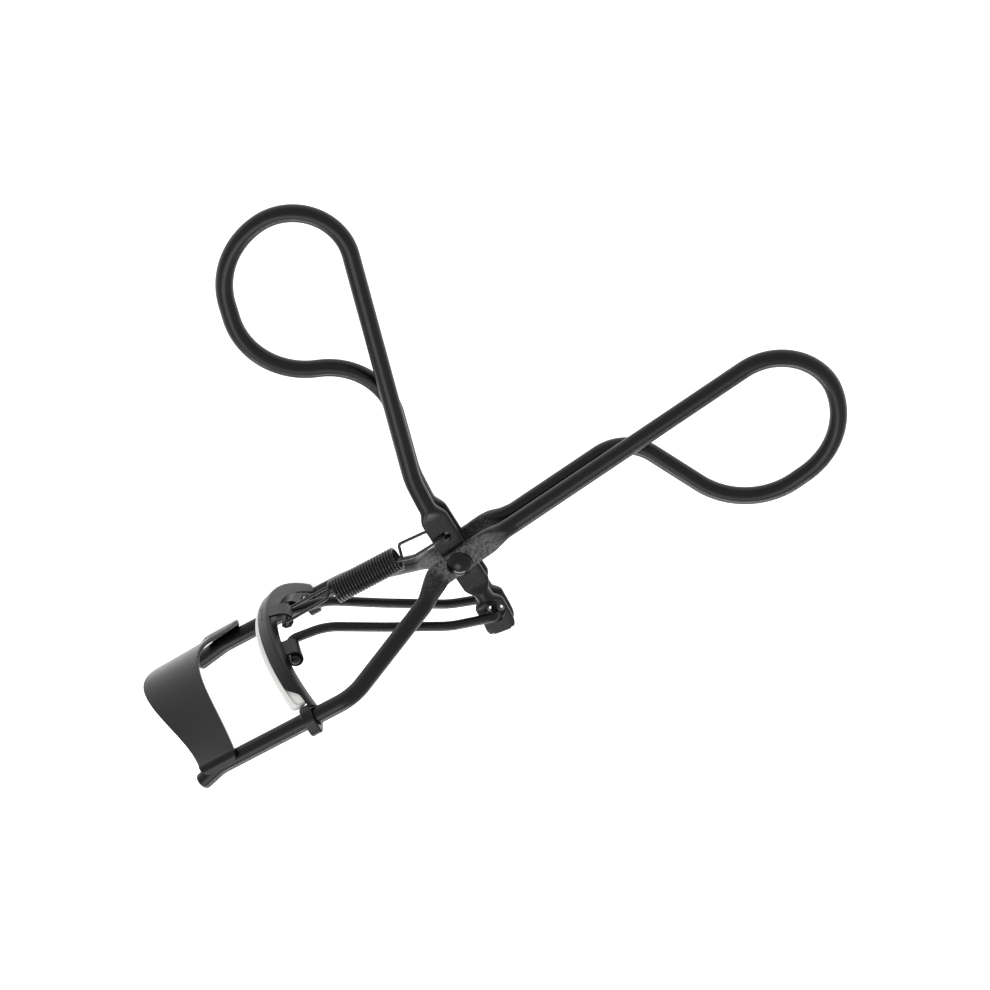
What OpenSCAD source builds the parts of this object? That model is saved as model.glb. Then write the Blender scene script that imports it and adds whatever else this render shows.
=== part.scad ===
// Eyelash curler of bent wire and pressed sheet, lying on its side.
// +X runs from the rivet to the fixed finger loop, +Y to the moving finger
// loop and +Z along the rivet. Millimetres throughout.

/* [Wire] */
// Thickness of the wire of both handles
wire_d = 2.5; // [2.3:0.1:2.7]
// Thickness of the link's wire
link_d = 1.4; // [1.2:0.1:1.6]
// Thickness of the spring's wire
spring_wire_d = 0.45; // [0.35:0.05:0.5]
// Thickness of the wire where it is pressed flat at the rivet
flat_t = 1.1; // [0.9:0.05:1.2]
// Width of the moving handle's flats
flat_w = 4; // [3.8:0.1:4.4]
// Width of the fixed handle's flats
frame_flat_w = 3.6; // [3.4:0.1:4]

/* [Cage] */
// Distance between the centres of the two side arms
cage_w = 35.4; // [34:0.2:38]
// How far the side arms lie below the rivet's centre
arm_drop = 3.5; // [3:0.1:4]
// Distance from the rivet to the tips of the side arms
arm_reach = 44.7; // [44:0.1:47]
// Length of the bent tip of a side arm
tip_len = 3.6; // [2.5:0.1:4.5]
// How far the bent tip dips
tip_dip = 1; // [0.5:0.1:1.5]
// Distance from the rivet to where the side arms start to close in
shoulder_x = 19.6; // [18:0.2:20]

/* [Top plate] */
// Thickness of the top plate's sheet
sheet_t = 0.8; // [0.6:0.05:1]
// Distance from the rivet to the plate's rear edge, at the crest
plate_x = 40.4; // [40:0.1:41]
// Height of the rear edge's crest above the rivet's centre
plate_crest = 3.9; // [3.4:0.1:4.4]
// Depth of the plate at its crest
plate_len = 8.8; // [8:0.1:10]
// Depth of the plate at its ends
plate_end_len = 6.9; // [6:0.1:7.2]
// Fall of the rear edge from its crest to its ends
plate_fall = 7; // [6.6:0.1:7.4]
// How far the rear edge's ends lie behind its crest
plate_sweep = 2.8; // [2.4:0.1:3]
// Rise of the plate's front edge over its rear edge, at the crest
plate_lift = 0.9; // [0.5:0.1:1.4]
// Height of the plate's flanges along the side arms
flange_h = 1.8; // [1:0.1:2.4]

/* [Clamp] */
// Radius of the bow of the channel and the pad
bow_r = 19.6; // [19:0.1:21]
// Height of the bow's crest above the rivet's centre
bow_crest = 3.85; // [3:0.05:5]
// Lean of the bow towards the front
bow_rake = 18.6; // [14:0.2:22]
// Gap between the plate and the open pad, along the slide
jaw_gap = 9.5; // [9.4:0.05:10.2]
// Width of the pad
pad_w = 2.3; // [1.8:0.1:2.8]
// How far the pad stands out of its channel
pad_proud = 1.3; // [0.8:0.1:1.8]
// Depth of the channel
channel_depth = 2.2; // [1.8:0.1:2.8]
// Thickness of the channel's sheet
channel_t = 0.6; // [0.5:0.05:0.8]
// Half of the angle that the pad spans
pad_half_angle = 50; // [46:0.5:52]
// Length of the guide eyes along the side arms
eye_len = 2; // [1.8:0.1:2.6]
// Wall of the guide eyes
eye_wall = 0.7; // [0.6:0.05:1]

/* [Handles] */
// Distance from the rivet to the far side of both finger loops
loop_reach = 58.7; // [57:0.1:64]
// Length of the rear flat on the fixed handle
frame_flat_rear = 6.2; // [6:0.1:6.6]
// Length of the upper flat on the moving handle
lever_flat_top = 8; // [7.6:0.1:8.4]
// Length of the lower flat on the moving handle
lever_flat_low = 5.2; // [4.8:0.1:5.4]
// Distance from the rivet to the link's hole
tail_hole_y = 10; // [9.6:0.1:10.4]
// Width of the hole that holds the link loosely
tail_hole_d = 2.8; // [2.6:0.1:3]

/* [Rivet] */
// Thickness of the rivet's shank
rivet_d = 2; // [1.6:0.1:2.4]
// Width of the rivet's heads
rivet_head_d = 3.7; // [3.3:0.1:4]
// Height of the rivet's heads
rivet_head_h = 1.1; // [0.8:0.1:1.4]

/* [Spring] */
// Outer width of the coil
coil_d = 3.7; // [3.2:0.1:4]
// Number of turns
coil_turns = 23; // [18:1:24]
// Distance from the rivet to the rear end of the coil
coil_rear_x = 7.7; // [7:0.1:8.5]
// Width of the hole for the spring's hook
spring_hole_d = 1.7; // [1.5:0.1:2]
// Height of the hook's hole above the rivet
spring_hole_y = 4.1; // [3.8:0.1:4.6]

/* [Fits] */
// Play of the rivet in the flats, on each side
rivet_play = 0.05; // [0.02:0.01:0.1]
// Play of the side arms in the guide eyes, on each side
guide_play = 0.15; // [0.1:0.01:0.2]
// Play of the link's feet in their curls, on each side
foot_play = 0.08; // [0.05:0.01:0.15]
// Play between neighbouring flats
flat_play = 0.15; // [0.1:0.01:0.25]
// Play of the pad in its channel, on each side
pad_play = 0.05; // [0.02:0.01:0.1]

/* [Hidden] */
$fn = 48;

coating = "#2c2c2e";
silicone = "#ecebe8";

arm_z = cage_w / 2;
eye_r = wire_d / 2 + guide_play + eye_wall;
lever_gap = 1.4;
lever_z = lever_gap / 2 + flat_t / 2;
frame_z = lever_gap / 2 + flat_t + flat_play + flat_t / 2;
frame_shank_z = wire_d / 2 + 0.65;
lever_shank_z = wire_d / 2 + 0.05;
stack_z = frame_z + flat_t / 2;
frame_tilt = 7.5;

bow_end = asin((arm_z - wire_d / 2 - sheet_t / 2) / bow_r);
plate_reach = plate_x + plate_len;
pad_x = plate_x - jaw_gap;

belly_y = 15.65;
rivet_x = (plate_reach - loop_reach) / 2;
rivet_y = (belly_y - loop_reach) / 2;
rivet_z = arm_z + eye_r;

// ---- bent wire ----

function unit(v) = v / norm(v);
function spot(p) = [p[0], p[1], p[2]];
function side_of(v) = unit(cross(v, abs(v[2]) < 0.9 * norm(v) ? [0, 0, 1] : [1, 0, 0]));
function flip_z(path) = [for (i = [len(path) - 1:-1:0]) [path[i][0], path[i][1], -path[i][2], path[i][3]]];

// A frame at o with its x and z axes along the given unit vectors
module place(o, x, z) {
    y = cross(z, x);
    multmatrix([[x[0], y[0], z[0], o[0]],
                [x[1], y[1], z[1], o[1]],
                [x[2], y[2], z[2], o[2]],
                [0, 0, 0, 1]])
        children();
}

// The round bend at corner i of a path of [x, y, z, bend radius]
function bend(path, i, step) =
    let (c = spot(path[i]),
         u = unit(c - spot(path[i - 1])),
         v = unit(spot(path[i + 1]) - c),
         turn = acos(max(-1, min(1, u * v))),
         r = path[i][3],
         inward = unit(v - u),
         centre = c + inward * r / cos(turn / 2),
         start = c - u * r * tan(turn / 2) - centre,
         n = max(2, ceil(turn / step)))
    [for (k = [0:n]) centre + start * cos(turn * k / n) + u * r * sin(turn * k / n)];

// The centre line of wire bent along a path
function bent(path, step = 9) =
    [spot(path[0]), for (i = [1:len(path) - 2]) each bend(path, i, step), spot(path[len(path) - 1])];

// Each ring's sideways direction, carried along the line without twist
function carried(headings, i = 0, sides = []) =
    i == len(headings) ? sides :
    let (h = headings[i], s = i == 0 ? side_of(h) : sides[i - 1])
    carried(headings, i + 1, concat(sides, [unit(s - h * (s * h))]));

// A round tube swept along a list of points
module tube(points, d, facets = 20) {
    last = len(points) - 1;
    headings = [for (i = [0:last]) unit(points[min(i + 1, last)] - points[max(i - 1, 0)])];
    xs = carried(headings);
    skin = [for (i = [0:last], k = [0:facets - 1])
        points[i] + d / 2 * (xs[i] * cos(360 * k / facets)
                             + cross(headings[i], xs[i]) * sin(360 * k / facets))];
    polyhedron(skin, concat(
        [[for (k = [0:facets - 1]) k]],
        [for (i = [0:last - 1], k = [0:facets - 1])
            [i * facets + k, (i + 1) * facets + k,
             (i + 1) * facets + (k + 1) % facets, i * facets + (k + 1) % facets]],
        [[for (k = [facets - 1:-1:0]) last * facets + k]]), convexity = 20);
}

module wire(d, path, facets = 20) tube(bent(path), d, facets);

// A flat with round ends, pressed in the wire from x0 to x1 at height z
module flat(x0, x1, z, w) {
    translate([0, 0, z - flat_t / 2]) linear_extrude(flat_t) bar(x0 + w / 2, x1 - w / 2, w);
}

module bar(x0, x1, w) {
    translate([x0, -w / 2]) square([x1 - x0, w]);
    for (x = [x0, x1]) translate([x, 0]) circle(d = w);
}

// The ends of a pressed transition
module press_slab(w) { cube([0.2, w, flat_t - 0.04], center = true); }
module press_disc() { cylinder(d = wire_d * 0.94, h = 0.2, $fn = 32); }

// ---- fixed handle ----

arm_path = [[-arm_reach, -arm_drop - tip_dip, arm_z, 0],
            [-arm_reach + tip_len, -arm_drop, arm_z, 5],
            [-shoulder_x, -arm_drop, arm_z, 6],
            [-6.6, -1.4, frame_z + 4.1, 5],
            [-4.3, -0.8, frame_z + 1.4, 0]];

flat_off = 0.2;
frame_shank_x = frame_flat_rear + 3;
frame_loop = [[frame_shank_x, 1, frame_shank_z, 0],
              [loop_reach - 0.6, 6.2, 0.8, 8.5],
              [loop_reach - 1.6, -12.6, 0, 11.6],
              [loop_reach - 20.8, -belly_y, -0.9, 11.3],
              [loop_reach - 29.9, 3.3, -1.8, 6.5],
              [frame_shank_x, 1, -frame_shank_z, 0]];

// Pressed transitions from the flat to the arm and to the shank: each starts
// inside the flat and ends inside the round wire
module frame_presses() {
    arm_end = spot(arm_path[4]);
    arm_way = unit(arm_end - spot(arm_path[3]));
    hull() {
        rotate(frame_tilt) translate([-2.4, flat_off, frame_z]) press_slab(frame_flat_w - 0.2);
        place(arm_end - 0.6 * arm_way, side_of(arm_way), arm_way) press_disc();
    }
    hull() {
        rotate(frame_tilt) translate([frame_flat_rear - 0.3, flat_off, frame_z])
            press_slab(frame_flat_w - 0.2);
        translate([frame_shank_x + 0.4, 1, frame_shank_z]) rotate([0, 90, 5.9]) press_disc();
    }
}

module frame_side() {
    wire(wire_d, arm_path);
    rotate(frame_tilt) translate([0, flat_off, 0]) flat(-3.9, frame_flat_rear, frame_z, frame_flat_w);
    frame_presses();
}

module frame_handle() {
    color(coating) translate([rivet_x, rivet_y, rivet_z])
        difference() {
            union() {
                frame_side();
                mirror([0, 0, 1]) frame_side();
                wire(wire_d, frame_loop);
            }
            cylinder(d = rivet_d + 2 * rivet_play, h = 4 * stack_z, center = true);
        }
}

// ---- top plate ----

// The plate's fall at the share s of its half width: a round bow mixed with a
// wave that runs level into the side arms
function sag(s, mix) =
    let (round_end = 57)
    mix * (1 - cos(180 * s)) / 2
    + (1 - mix) * (1 - sqrt(1 - pow(s * sin(round_end), 2))) / (1 - cos(round_end));

// A point of the plate's sheet: t runs from its rear edge to its front edge, s
// runs along the bow, fall the way down a flange, and off the distance from the
// sheet's middle
function plate_point(s, fall, t, off) =
    let (half_w = arm_z - wire_d / 2 - sheet_t / 2,
         mix = 0.2 + 0.4 * t,
         u = sag(abs(s), mix),
         front_fall = plate_fall + 0.3,
         slope = (sag(min(1, abs(s) + 0.01), mix) - sag(max(0, abs(s) - 0.01), mix))
                 / (min(1, abs(s) + 0.01) - max(0, abs(s) - 0.01)),
         tilt = atan2(slope * (plate_fall + 0.3 * t), half_w),
         lean = fall > 0 ? 90 : abs(s) < 1 ? tilt : (90 + tilt) / 2,
         reach = fall > 0 || abs(s) < 1 ? off : off / cos((90 - tilt) / 2),
         shrink = (plate_len - plate_end_len) * u)
    [-plate_x - t * plate_len + u * plate_sweep + t * shrink,
     plate_crest + t * plate_lift - u * (plate_fall + t * (front_fall - plate_fall)) - fall
     + reach * cos(lean),
     sign(s) * (half_w * abs(s) + reach * sin(lean))];

module top_plate() {
    across = 36;
    along = 4;
    columns = concat(
        [[-1, flange_h]],
        [for (i = [0:across]) [2 * i / across - 1, 0]],
        [[1, flange_h]]);
    row = len(columns);
    points = [for (off = [sheet_t / 2, -sheet_t / 2], k = [0:along], c = columns)
              plate_point(c[0], c[1], k / along, off)];
    function id(l, k, i) = (l * (along + 1) + k) * row + i;
    faces = concat(
        [for (k = [0:along - 1], i = [0:row - 2])
            [id(0, k, i), id(0, k + 1, i), id(0, k + 1, i + 1), id(0, k, i + 1)]],
        [for (k = [0:along - 1], i = [0:row - 2])
            [id(1, k, i), id(1, k, i + 1), id(1, k + 1, i + 1), id(1, k + 1, i)]],
        [for (i = [0:row - 2]) [id(0, 0, i), id(0, 0, i + 1), id(1, 0, i + 1), id(1, 0, i)]],
        [for (i = [0:row - 2])
            [id(0, along, i), id(1, along, i), id(1, along, i + 1), id(0, along, i + 1)]],
        [for (k = [0:along - 1]) [id(0, k, 0), id(1, k, 0), id(1, k + 1, 0), id(0, k + 1, 0)]],
        [for (k = [0:along - 1])
            [id(0, k, row - 1), id(0, k + 1, row - 1), id(1, k + 1, row - 1), id(1, k, row - 1)]]);
    color(coating) translate([rivet_x, rivet_y, rivet_z]) polyhedron(points, faces, convexity = 4);
}

// ---- rivet ----

module rivet_head() {
    cap_r = (pow(rivet_head_d / 2, 2) + pow(rivet_head_h, 2)) / (2 * rivet_head_h);
    intersection() {
        translate([0, 0, rivet_head_h - cap_r]) sphere(r = cap_r, $fn = 96);
        cylinder(d = rivet_head_d + 1, h = rivet_head_h + 1);
    }
}

module pivot_rivet() {
    color(coating) translate([rivet_x, rivet_y, rivet_z]) {
        cylinder(d = rivet_d, h = 2 * stack_z, center = true);
        translate([0, 0, stack_z]) rivet_head();
        mirror([0, 0, 1]) translate([0, 0, stack_z]) rivet_head();
    }
}

// ---- moving handle ----

lever_shank_y = lever_flat_top + 1.6;
lever_loop = [[0.1, lever_shank_y, lever_shank_z, 0],
              [0.5, 14, lever_shank_z, 14],
              [13.7, loop_reach + 0.3, 0.9, 8],
              [-6, loop_reach - 1.7, 0.2, 11.7],
              [-11.2, loop_reach - 20.2, -0.5, 10.7],
              [5.4, loop_reach - 27.8, -lever_shank_z, 9.8],
              [0.5, 14, -lever_shank_z, 14],
              [0.1, lever_shank_y, -lever_shank_z, 0]];
neck_top = -lever_flat_low - 0.6;
neck_low = -tail_hole_y + 2.2;
tail_w = 4.1;

// Pressed transitions from the flats to the shank and to the neck
module lever_presses() {
    module slab(y, w) { translate([0, y, lever_z]) rotate(90) press_slab(w); }
    module disc(y) { translate([0.1, y, lever_shank_z]) rotate([90, 0, 0]) press_disc(); }
    hull() {
        slab(lever_flat_top - 1.8, flat_w - 0.2);
        disc(lever_shank_y + 0.6);
    }
    hull() {
        slab(-lever_flat_low + 1.6, flat_w - 0.2);
        disc(neck_top - 0.4);
    }
    hull() {
        slab(neck_low - 0.8, tail_w - 0.3);
        disc(neck_low + 0.6);
    }
}

module lever_side() {
    rotate(90) flat(-lever_flat_low, lever_flat_top, lever_z, flat_w);
    tube([[0.1, neck_top, lever_shank_z], [0.1, neck_low, lever_shank_z]], wire_d);
    translate([0.1, -tail_hole_y, lever_z - flat_t / 2]) linear_extrude(flat_t)
        polygon([[-1.7, 2.4], [-2.1, 1], [-2.2, -1.2], [-1.9, -2.2], [-1.4, -2.9], [0.6, -2.9],
                 [1.5, -2.6], [2.1, -1.8], [2.2, 0], [2, 1.4], [1.5, 2.4]]);
    lever_presses();
}

module moving_handle() {
    color(coating) translate([rivet_x, rivet_y, rivet_z])
        difference() {
            union() {
                lever_side();
                mirror([0, 0, 1]) lever_side();
                wire(wire_d, lever_loop);
            }
            cylinder(d = rivet_d + 2 * rivet_play, h = 4 * stack_z, center = true);
            translate([0.1, spring_hole_y, 0])
                cylinder(d = spring_hole_d, h = 4 * stack_z, center = true);
            translate([0.3, -tail_hole_y, 0])
                cylinder(d = tail_hole_d, h = 4 * stack_z, center = true);
        }
}

// ---- clamp ----

// A frame at the bow's centre: x to the crest, z to the front along the rake
module bow_frame(x) {
    translate([x, bow_crest, 0]) rotate(bow_rake) rotate([0, -90, 0]) rotate(90)
        translate([-bow_r, 0, 0]) children();
}

channel_h = pad_w / 2 + pad_play + channel_t;
curl_x = pad_x - 5;
curl_y = bow_crest + 0.05;
foot_x = pad_x - 5.1;
foot_y = bow_crest - 1.65;
foot_hole_r = link_d / 2 + foot_play;
foot_start = 5.2;
foot_end = 9.2;

// A profile in [distance from the bow, distance behind the pad's crest] swept
// round the bow
module sweep_bow(half_angle) {
    rotate(-half_angle) rotate_extrude(angle = 2 * half_angle, $fn = 180)
        translate([bow_r, 0]) children();
}

module channel() {
    floor_t = channel_t;
    difference() {
        translate([0, 0, -pad_proud - channel_depth]) sweep_bow(bow_end + 1)
            translate([-channel_h, 0]) square([2 * channel_h, channel_depth]);
        translate([0, 0, -pad_proud - channel_depth + floor_t]) sweep_bow(bow_end + 4)
            translate([-channel_h + channel_t, 0])
                square([2 * (channel_h - channel_t), channel_depth]);
        for (side = [-1, 1])
            rotate(side * (bow_end - 8)) translate([bow_r, side * 6, -pad_proud - channel_depth + floor_t])
                rotate(side * -8) translate([0, -6, 0.5]) cube([6, 12, 4]);
    }
}

// A tab rolled into an eye about an axis along z
module curl(x, y, hole_r, wall, z0, z1) {
    translate([x, y, z0]) difference() {
        cylinder(r = hole_r + wall, h = z1 - z0);
        translate([0, 0, -1]) cylinder(r = hole_r, h = z1 - z0 + 2);
    }
}

// A squared eye round a side arm
module guide_eye() {
    translate([-pad_x + pad_proud + 2.3, -arm_drop, arm_z]) intersection() {
        translate([0, -eye_r, -eye_r]) cube([eye_len, 2 * eye_r, 2 * eye_r]);
        rotate([0, 90, 0]) cylinder(r = 1.2 * eye_r, h = eye_len);
    }
}

module clamp_bar() {
    curl_hole_r = 0.8;
    color(coating) translate([rivet_x, rivet_y, rivet_z])
        difference() {
            union() {
                bow_frame(-pad_x) channel();
                guide_eye();
                mirror([0, 0, 1]) guide_eye();
                curl(-foot_x, foot_y, foot_hole_r, channel_t, foot_start, foot_end);
                mirror([0, 0, 1]) curl(-foot_x, foot_y, foot_hole_r, channel_t, foot_start, foot_end);
                curl(-curl_x, curl_y, curl_hole_r, channel_t, -1.2, 1.2);
            }
            for (side = [-1, 1])
                translate([-pad_x - 10, -arm_drop, side * arm_z]) rotate([0, 90, 0])
                    cylinder(d = wire_d + 2 * guide_play, h = 20);
        }
}

module pad() {
    back = pad_proud + channel_depth - channel_t;
    nose = pad_w / 2;
    color(silicone) translate([rivet_x, rivet_y, rivet_z]) bow_frame(-pad_x)
        sweep_bow(pad_half_angle) {
            translate([-nose, -back]) square([pad_w, back - nose]);
            intersection() {
                translate([0, -nose]) circle(r = nose);
                translate([-nose, -nose]) square([pad_w, nose]);
            }
        }
}

// ---- link ----

link_half = [[-foot_x, foot_y, foot_end + 0.2, 0],
             [-foot_x, foot_y, 4.1, 1.1],
             [-21, 1.5, 3.9, 9],
             [-13.8, -3.1, 3.6, 25],
             [-6, -7.8, 3.3, 12],
             [0.3, -tail_hole_y, 3, 1]];

module link_wire() {
    color(coating) translate([rivet_x, rivet_y, rivet_z])
        wire(link_d, concat(link_half, flip_z(link_half)), 12);
}

// ---- spring ----

coil_r = (coil_d - spring_wire_d) / 2;
coil_len = coil_turns * spring_wire_d;
coil_y = 3.8;

module spring_coil() {
    steps = 12;
    front = -coil_rear_x - coil_len;
    hook_z = 1.6;
    hook = [[front - 0.7, coil_y, -hook_z, 0],
            [-curl_x, curl_y, -hook_z, 0.5],
            [-curl_x, curl_y, hook_z, 0.5],
            [front - 1.4, coil_y, hook_z, 0.8],
            [front - 0.5, coil_y + coil_r, 0.4, 0.5],
            [front, coil_y + coil_r, 0, 0]];
    color(coating) translate([rivet_x, rivet_y, rivet_z])
        tube(concat(bent(hook, 18),
             [for (i = [1:coil_turns * steps])
              [front + coil_len * i / (coil_turns * steps),
               coil_y + coil_r * cos(360 * i / steps),
               -coil_r * sin(360 * i / steps)]]), spring_wire_d, 6);
}

module spring_rear_hook() {
    color(coating) translate([rivet_x, rivet_y, rivet_z])
        wire(spring_wire_d, [[-7, 3.8, 0.4, 0],
                             [-3.8, 3.7, 2.3, 0.6],
                             [0.1, 4, 2.4, 0.5],
                             [0.1, 4.1, 0.1, 0.5],
                             [-6.4, 5.5, 0.1, 0.6],
                             [-7, 3.8, 0.1, 0]], 8);
}

frame_handle();
top_plate();
pivot_rivet();
moving_handle();
clamp_bar();
pad();
link_wire();
spring_coil();
spring_rear_hook();
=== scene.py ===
"""Black eyelash curler: smooth wire and sheet bodies, finishes, light and camera.

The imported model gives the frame. Each sub-assembly repeats its sizes in
millimetres from the rivet's centre, builds a finer mesh over its own solid and
dresses it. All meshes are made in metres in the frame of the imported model.
"""

import logging
import math
from dataclasses import dataclass, field, replace
from enum import Enum
from typing import Callable, Optional, Sequence

import bmesh
import bpy
from mathutils import Matrix, Vector

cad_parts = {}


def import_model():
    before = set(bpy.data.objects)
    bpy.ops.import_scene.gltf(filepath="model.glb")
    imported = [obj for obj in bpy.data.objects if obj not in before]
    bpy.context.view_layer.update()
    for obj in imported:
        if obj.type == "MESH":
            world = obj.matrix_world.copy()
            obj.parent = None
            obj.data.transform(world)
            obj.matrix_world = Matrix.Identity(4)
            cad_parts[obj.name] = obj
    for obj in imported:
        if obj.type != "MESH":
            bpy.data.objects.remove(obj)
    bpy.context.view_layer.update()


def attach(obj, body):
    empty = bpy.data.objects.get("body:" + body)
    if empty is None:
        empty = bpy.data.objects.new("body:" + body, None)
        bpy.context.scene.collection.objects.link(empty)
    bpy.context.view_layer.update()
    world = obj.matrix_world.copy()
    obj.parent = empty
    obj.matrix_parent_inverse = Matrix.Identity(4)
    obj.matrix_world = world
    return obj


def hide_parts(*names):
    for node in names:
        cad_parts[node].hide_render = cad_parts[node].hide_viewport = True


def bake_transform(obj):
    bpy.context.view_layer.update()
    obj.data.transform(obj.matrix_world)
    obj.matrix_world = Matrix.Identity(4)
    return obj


log = logging.getLogger("curler")

MM = 0.001
RIVET = Vector((-4.75, -21.525, 19.8))
QUARTER = math.pi / 2
# Ends and bends are rounded in this many steps to a quarter turn
ROUND_STEPS = 4
# No wire's end is drawn thinner than this half width, in millimetres
THINNEST = 0.05
# How far a drill reaches to both sides of the mid plane, in millimetres
DRILL_REACH = 9.0
# The bow in the plate's fall is an arc whose half width is this share of its radius
BOW_SHARE = 0.84

# A path's corner as x, y, z and bend radius, in millimetres from the rivet
Corner = tuple[float, float, float, float]
Ring = list[Vector]


class Slot(Enum):
    """The material slots of the record."""

    COATING = "black_coating"
    PLATE = "black_plate"
    SILICONE = "silicone"
    SPRING = "spring_wire"


class Body(Enum):
    """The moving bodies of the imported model."""

    FRAME = "frame"
    HANDLE = "handle"
    CLAMP = "clamp"
    LINK = "link"
    SPRING_FRONT = "spring_front"
    SPRING_REAR = "spring_rear"


class Joining(Enum):
    """How one body changes another."""

    CUT = "DIFFERENCE"
    UNITE = "UNION"


# ---- lines and sections ----------------------------------------------------


def ease(low: float, high: float, x: float) -> float:
    """A smooth step from 0 at low to 1 at high.

    Args:
        low: where the step starts.
        high: where the step ends.
        x: where it is read.

    Returns:
        The step's height at x.
    """
    t = min(1.0, max(0.0, (x - low) / (high - low)))
    return t * t * (3 - 2 * t)


def mirrored(path: Sequence[Corner]) -> list[Corner]:
    """The same path in reverse on the other side of the mid plane.

    Args:
        path: corners as x, y, z and bend radius.

    Returns:
        The corners of the far side, from its last to its first.
    """
    return [(x, y, -z, r) for x, y, z, r in reversed(path)]


def bent(path: Sequence[Corner], spacing: float) -> list[Vector]:
    """The centre line of a wire bent round along a path, evenly spaced.

    Args:
        path: corners as x, y, z and bend radius in millimetres.
        spacing: the greatest distance between two points.

    Returns:
        Points along the line in millimetres from the rivet.
    """
    line = [Vector(path[0][:3])]
    for before, corner, after in zip(path, path[1:], path[2:]):
        c, r = Vector(corner[:3]), corner[3]
        u = (c - Vector(before[:3])).normalized()
        v = (Vector(after[:3]) - c).normalized()
        turn = math.acos(max(-1.0, min(1.0, u.dot(v))))
        inward = (v - u).normalized()
        centre = c + inward * r / math.cos(turn / 2)
        start = c - u * r * math.tan(turn / 2) - centre
        steps = max(2, math.ceil(r * turn / spacing * 2))
        for k in range(steps + 1):
            a = turn * k / steps
            line.append(centre + start * math.cos(a) + u * r * math.sin(a))
    line.append(Vector(path[-1][:3]))
    return evened(line, spacing)


def lengths_along(line: Sequence[Vector]) -> list[float]:
    """How far along a line each of its points lies.

    Args:
        line: the points of the line.

    Returns:
        The distance from the first point, for each point.
    """
    lengths = [0.0]
    for a, b in zip(line, line[1:]):
        lengths.append(lengths[-1] + (b - a).length)
    return lengths


def evened(line: Sequence[Vector], spacing: float) -> list[Vector]:
    """A line again at equal distances.

    Args:
        line: the points of the line.
        spacing: the greatest distance between two new points.

    Returns:
        The new points, with the same ends.
    """
    lengths = lengths_along(line)
    count = max(2, math.ceil(lengths[-1] / spacing))
    out, i = [], 0
    for k in range(count + 1):
        s = lengths[-1] * k / count
        while i < len(line) - 2 and lengths[i + 1] < s:
            i += 1
        span = lengths[i + 1] - lengths[i] or 1.0
        out.append(line[i].lerp(line[i + 1], (s - lengths[i]) / span))
    return out


@dataclass(frozen=True)
class Section:
    """A wire's cross section: half width, half height, squareness and press.

    Power 2 is an ellipse and a higher one squares it. Press is 0 on round wire
    and 1 where the wire was pressed flat.
    """

    half_w: float
    half_t: float
    power: float = 2.0
    press: float = 0.0

    def mixed(self, other: "Section", share: float) -> "Section":
        """This section turned towards another.

        Args:
            other: the section to turn towards.
            share: how far, from 0 to 1.

        Returns:
            The section between.
        """
        return Section(
            *(
                getattr(self, name) * (1 - share) + getattr(other, name) * share
                for name in ("half_w", "half_t", "power", "press")
            )
        )

    def outline(self, facets: int) -> list[tuple[float, float]]:
        """Points round the section.

        Args:
            facets: how many points.

        Returns:
            Their distances along the section's width and height.
        """
        points = []
        for k in range(facets):
            c = math.cos(2 * math.pi * k / facets)
            s = math.sin(2 * math.pi * k / facets)
            points.append(
                (
                    self.half_w * math.copysign(abs(c) ** (2 / self.power), c),
                    self.half_t * math.copysign(abs(s) ** (2 / self.power), s),
                )
            )
        return points


def swept(
    line: Sequence[Vector],
    section: Callable[[Vector], Section],
    facets: int,
    up: Optional[Vector] = None,
    end_round: float = 0.3,
) -> tuple[list[Ring], list[float]]:
    """Rings of a wire along a line, with rounded ends.

    Args:
        line: the centre line.
        section: gives the cross section at a point.
        facets: points in each ring.
        up: the direction of every section's height. None carries it without twist.
        end_round: how far the ends are rounded.

    Returns:
        The rings in millimetres and each ring's press.
    """
    last = len(line) - 1
    lengths = lengths_along(line)
    across = (line[1] - line[0]).orthogonal().normalized()
    # How far each ring of a rounded end lies inside the end, and how much less it is
    rounding = [
        (end_round * (1 - math.cos(a)), end_round * (1 - math.sin(a)))
        for a in (QUARTER * k / ROUND_STEPS for k in range(ROUND_STEPS + 1))
    ]
    rings, press = [], []
    for i, at in enumerate(line):
        way = (line[min(i + 1, last)] - line[max(i - 1, 0)]).normalized()
        if up is None:
            across = (across - way * across.dot(way)).normalized()
            side, top = across, way.cross(across)
        else:
            top = (up - way * up.dot(way)).normalized()
            side = top.cross(way)
        if i == 0:
            inward, steps = way, rounding
        elif i == last:
            inward, steps = -way, rounding[::-1]
        elif end_round < lengths[i] < lengths[-1] - end_round:
            inward, steps = way, [(0.0, 0.0)]
        else:
            continue
        shape = section(at)
        for depth, less in steps:
            smaller = Section(
                max(shape.half_w - less, THINNEST),
                max(shape.half_t - less, THINNEST),
                shape.power,
            )
            middle = at + inward * depth
            rings.append([middle + side * u + top * v for u, v in smaller.outline(facets)])
            press.append(shape.press)
    return rings, press


# ---- meshes ----------------------------------------------------------------


def placed(name: str, mesh: bmesh.types.BMesh) -> bpy.types.Object:
    """Turns a finished mesh into a piece of the scene, with its faces outward.

    Args:
        name: the piece's name.
        mesh: the mesh, in metres, which is used up.

    Returns:
        The new object at the origin.
    """
    bmesh.ops.recalc_face_normals(mesh, faces=mesh.faces)
    data = bpy.data.meshes.new(name)
    mesh.to_mesh(data)
    mesh.free()
    piece = bpy.data.objects.new(name, data)
    bpy.context.scene.collection.objects.link(piece)
    return piece


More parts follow.
